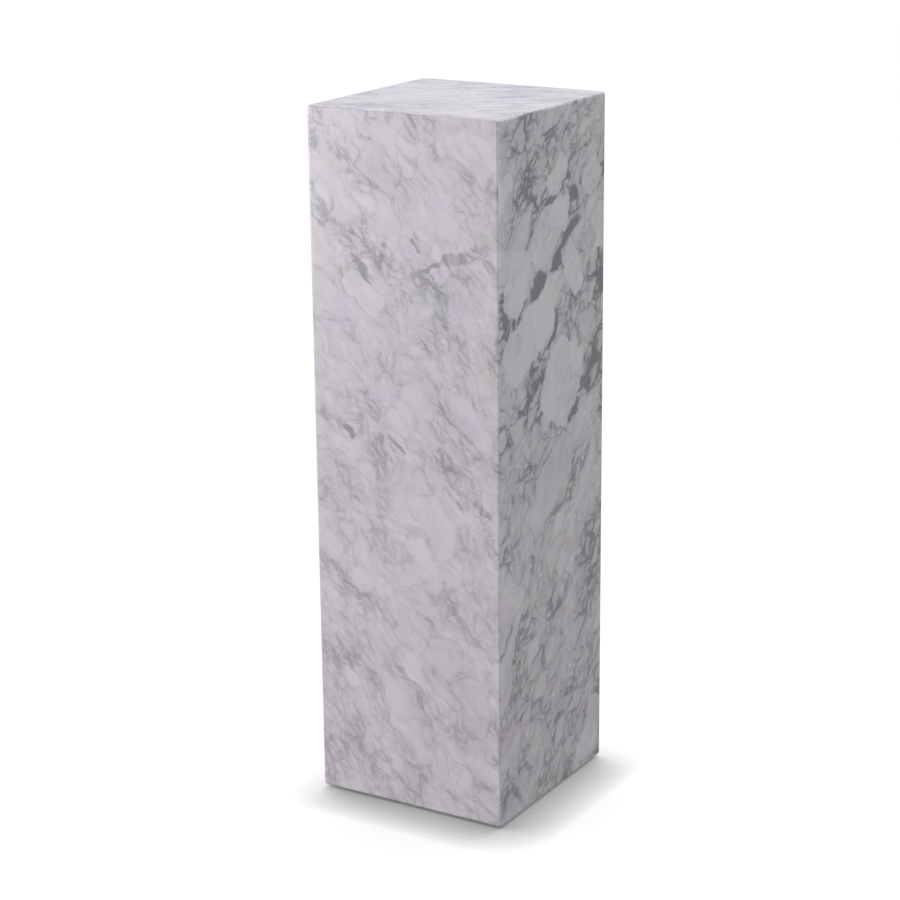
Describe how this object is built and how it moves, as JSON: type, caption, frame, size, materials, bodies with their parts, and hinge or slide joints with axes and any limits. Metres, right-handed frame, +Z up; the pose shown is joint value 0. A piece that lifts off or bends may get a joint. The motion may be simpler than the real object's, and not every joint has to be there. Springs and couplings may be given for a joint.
{
  "type": "pedestal column stand",
  "caption": "Tall square display pedestal clad in mitred marble panels with eased edges, over a plywood carcass on felt glides.",
  "frame": {"origin": "on the floor at the middle of the base", "axes": "+Z up along the column, -Y out of the front face, +X out of the right face"},
  "size_m": [0.3, 0.3, 1.003],
  "materials": {
    "marble": "honed, veined pale lilac-grey marble",
    "plywood": "sanded birch plywood",
    "softwood": "planed softwood",
    "glide_cup": "matte black",
    "felt": "dense wool felt",
    "screw_steel": "zinc plated"
  },
  "bodies": {
    "root": {"marble_front": "marble", "marble_right": "marble", "marble_back": "marble", "marble_left": "marble", "marble_top": "marble", "carcass_front": "plywood", "carcass_right": "plywood", "carcass_back": "plywood", "carcass_left": "plywood", "base_board": "plywood", "sub_top": "plywood", "brace_lower": "plywood", "brace_upper": "plywood", "batten_front_left": "softwood", "batten_front_right": "softwood", "batten_back_left": "softwood", "batten_back_right": "softwood", "glide_cup_front_left": "glide_cup", "glide_cup_front_right": "glide_cup", "glide_cup_back_left": "glide_cup", "glide_cup_back_right": "glide_cup", "glide_felt_front_left": "felt", "glide_felt_front_right": "felt", "glide_felt_back_left": "felt", "glide_felt_back_right": "felt", "carcass_screws": "screw_steel", "base_screws": "screw_steel", "sub_top_screws": "screw_steel", "glide_screws": "screw_steel"}
  },
  "joints": []
}
